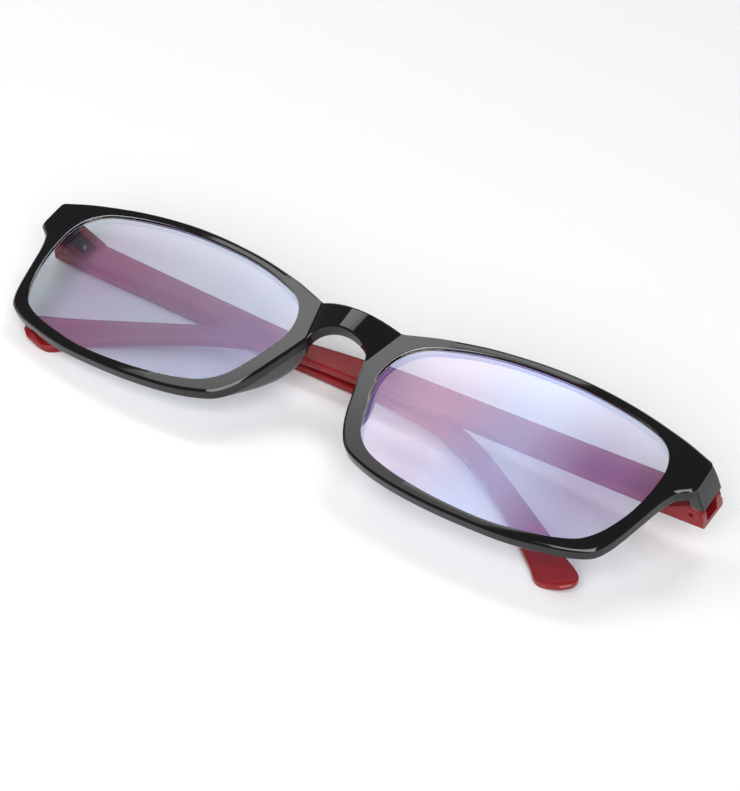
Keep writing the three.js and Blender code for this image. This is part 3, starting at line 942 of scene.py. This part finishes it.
studio = {
    "floor": "#f4f4f5", "floorLight": "#f7f7f8",
    "floorSize": 6.0,
    "world": 0.16,
    # lamp: middle (m), size across and along (m), radiance
    "top": ((-0.297, -0.12, 0.5), (0.27, 0.62), 3.0),
    # its brightness from near to far: share of its depth, linear colour
    "topStops": (
        (0.0, (0.45, 0.45, 0.45)), (0.82, (0.5, 0.5, 0.5)), (0.91, (1.15, 1.15, 1.15)),
        (1.0, (1.2, 1.2, 1.2)),
    ),
    "topFade": (0.5, 0.6),
    "back": ((0.0, 0.32, 0.7), (0.3, 0.2), 5.6),
    "front": ((0.5, -1.0, 0.8), (1.3, 0.9), 6.9),
    "bloom": ((-0.31, 0.13, 0.5), (0.56, 0.5), 2.1),
    # brightness of the lens panel from left to right: share of its width, linear colour
    "bloomStops": (
        (0.0, (0.0, 0.0, 0.0)), (0.1, (0.24, 0.14, 0.26)), (0.3, (0.27, 0.26, 0.36)),
        (0.45, (0.32, 0.34, 0.5)), (0.6, (0.82, 0.68, 0.8)), (0.73, (0.62, 0.74, 0.98)),
        (0.86, (0.3, 0.2, 0.42)),
        (0.98, (0.0, 0.0, 0.0)),
    ),
    "bloomFade": (0.25, 0.5),        # distance from its middle line over which it fades
}


def areaLamp(name, middle, size, radiance, aim=(0, 0, 0.01)):
    data = bpy.data.lights.new(name, "AREA")
    data.shape = "RECTANGLE"
    data.size, data.size_y = size
    data.energy = radiance * math.pi * size[0] * size[1]
    lamp = bpy.data.objects.new(name, data)
    scene.collection.objects.link(lamp)
    lamp.location = middle
    if aim is not None:
        lamp.rotation_euler = (Vector(aim) - Vector(middle)).to_track_quat("-Z", "Y").to_euler()
    return lamp


def lightOnly(lamp, pieces, state):
    # The lamp lights only these pieces, or all but these.
    chosen = bpy.data.collections.new(lamp.name + "_pieces")
    for piece in pieces:
        chosen.objects.link(piece)
    for entry in chosen.collection_objects:
        entry.light_linking.link_state = state
    lamp.light_linking.receiver_collection = chosen


def graded(lamp, along, across, stops, fade):
    # The lamp's panel has its own colour along one side and fades towards the ends of the other.
    lamp.data.use_nodes = True
    tree = lamp.data.node_tree
    tree.nodes.clear()
    panel = addNode(tree, "ShaderNodeNewGeometry")
    place = addNode(tree, "ShaderNodeSeparateXYZ", links={0: panel.outputs["Parametric"]})
    tint = addNode(tree, "ShaderNodeValToRGB", links={0: place.outputs[along]})
    tint.color_ramp.interpolation = "EASE"
    for _ in range(len(stops) - 2):
        tint.color_ramp.elements.new(0.5)
    for entry, (share, colour) in zip(tint.color_ramp.elements, stops):
        entry.position, entry.color = share, colour + (1.0,)
    offset = addNode(tree, "ShaderNodeMath", {"operation": "SUBTRACT"}, {1: 0.5}, {
        0: place.outputs[across]})
    away = addNode(tree, "ShaderNodeMath", {"operation": "ABSOLUTE"}, links={0: offset.outputs["Value"]})
    dim = addNode(tree, "ShaderNodeMapRange", {"interpolation_type": "SMOOTHSTEP"}, {
        "From Min": fade[0], "From Max": fade[1], "To Min": 1.0, "To Max": 0.0}, {
            "Value": away.outputs["Value"]})
    glow = addNode(tree, "ShaderNodeEmission", links={
        "Color": tint.outputs["Color"], "Strength": dim.outputs["Result"]})
    addNode(tree, "ShaderNodeOutputLight", links={"Surface": glow.outputs["Emission"]})


lenses = [bpy.data.objects[name] for name in ("right_lens_blank", "left_lens_blank")]
topLamp = areaLamp("top_softbox", *studio["top"], aim=None)
areaLamp("back_softbox", *studio["back"])
areaLamp("front_softbox", *studio["front"])
bloomLamp = areaLamp("lens_softbox", *studio["bloom"], aim=None)
lightOnly(topLamp, lenses, "EXCLUDE")
lightOnly(bloomLamp, lenses, "INCLUDE")
graded(bloomLamp, "X", "Y", studio["bloomStops"], studio["bloomFade"])
graded(topLamp, "Y", "X", studio["topStops"], studio["topFade"])

world = bpy.data.worlds.new("studio")
world.use_nodes = True
world.node_tree.nodes["Background"].inputs["Color"].default_value = (1, 1, 1, 1)
world.node_tree.nodes["Background"].inputs["Strength"].default_value = studio["world"]
scene.world = world
scene.view_settings.view_transform = "Standard"

half = studio["floorSize"] / 2
floor = solidMesh("floor", ([(-half, -half, 0), (half, -half, 0), (half, half, 0), (-half, half, 0)],
                            [(0, 1, 2, 3)]))
floorPaint, floorTree, floorPlace, floorShader = newMaterial("studio_floor_paint")
floorShade = addNode(floorTree, "ShaderNodeTexNoise", values={"Scale": 2.0}, links={"Vector": floorPlace})
floorTone = addNode(floorTree, "ShaderNodeMix", {"data_type": "RGBA"}, {
    6: linear(studio["floor"]), 7: linear(studio["floorLight"])}, {0: floorShade.outputs["Fac"]})
floorTree.links.new(floorTone.outputs[2], floorShader.inputs["Base Color"])
setShader(floorShader, Roughness=0.9)
floor.data.materials.append(floorPaint)

cameraSizes = {
    "eye": (227.72, -224.05, 344.72),   # mm, in the front's own frame
    "target": (11.18, -3.80, 0.0),
    "up": (-0.339, 0.682, 0.648),
    "lens": 127.4,
}


def addCamera():
    data = bpy.data.cameras.new("camera")
    data.lens = cameraSizes["lens"]
    data.sensor_width = 36.0
    data.clip_start, data.clip_end = 0.05, 20.0
    camera = bpy.data.objects.new("camera", data)
    scene.collection.objects.link(camera)
    eye = frontSpace @ Vector(cameraSizes["eye"])
    target = frontSpace @ Vector(cameraSizes["target"])
    back = (eye - target).normalized()
    upward = (frontSpace.to_3x3() @ Vector(cameraSizes["up"])).normalized()
    right = upward.cross(back).normalized()
    upward = back.cross(right)
    turn = Matrix((right, upward, back)).transposed().to_4x4()
    camera.matrix_world = Matrix.Translation(eye) @ turn
    scene.camera = camera


addCamera()
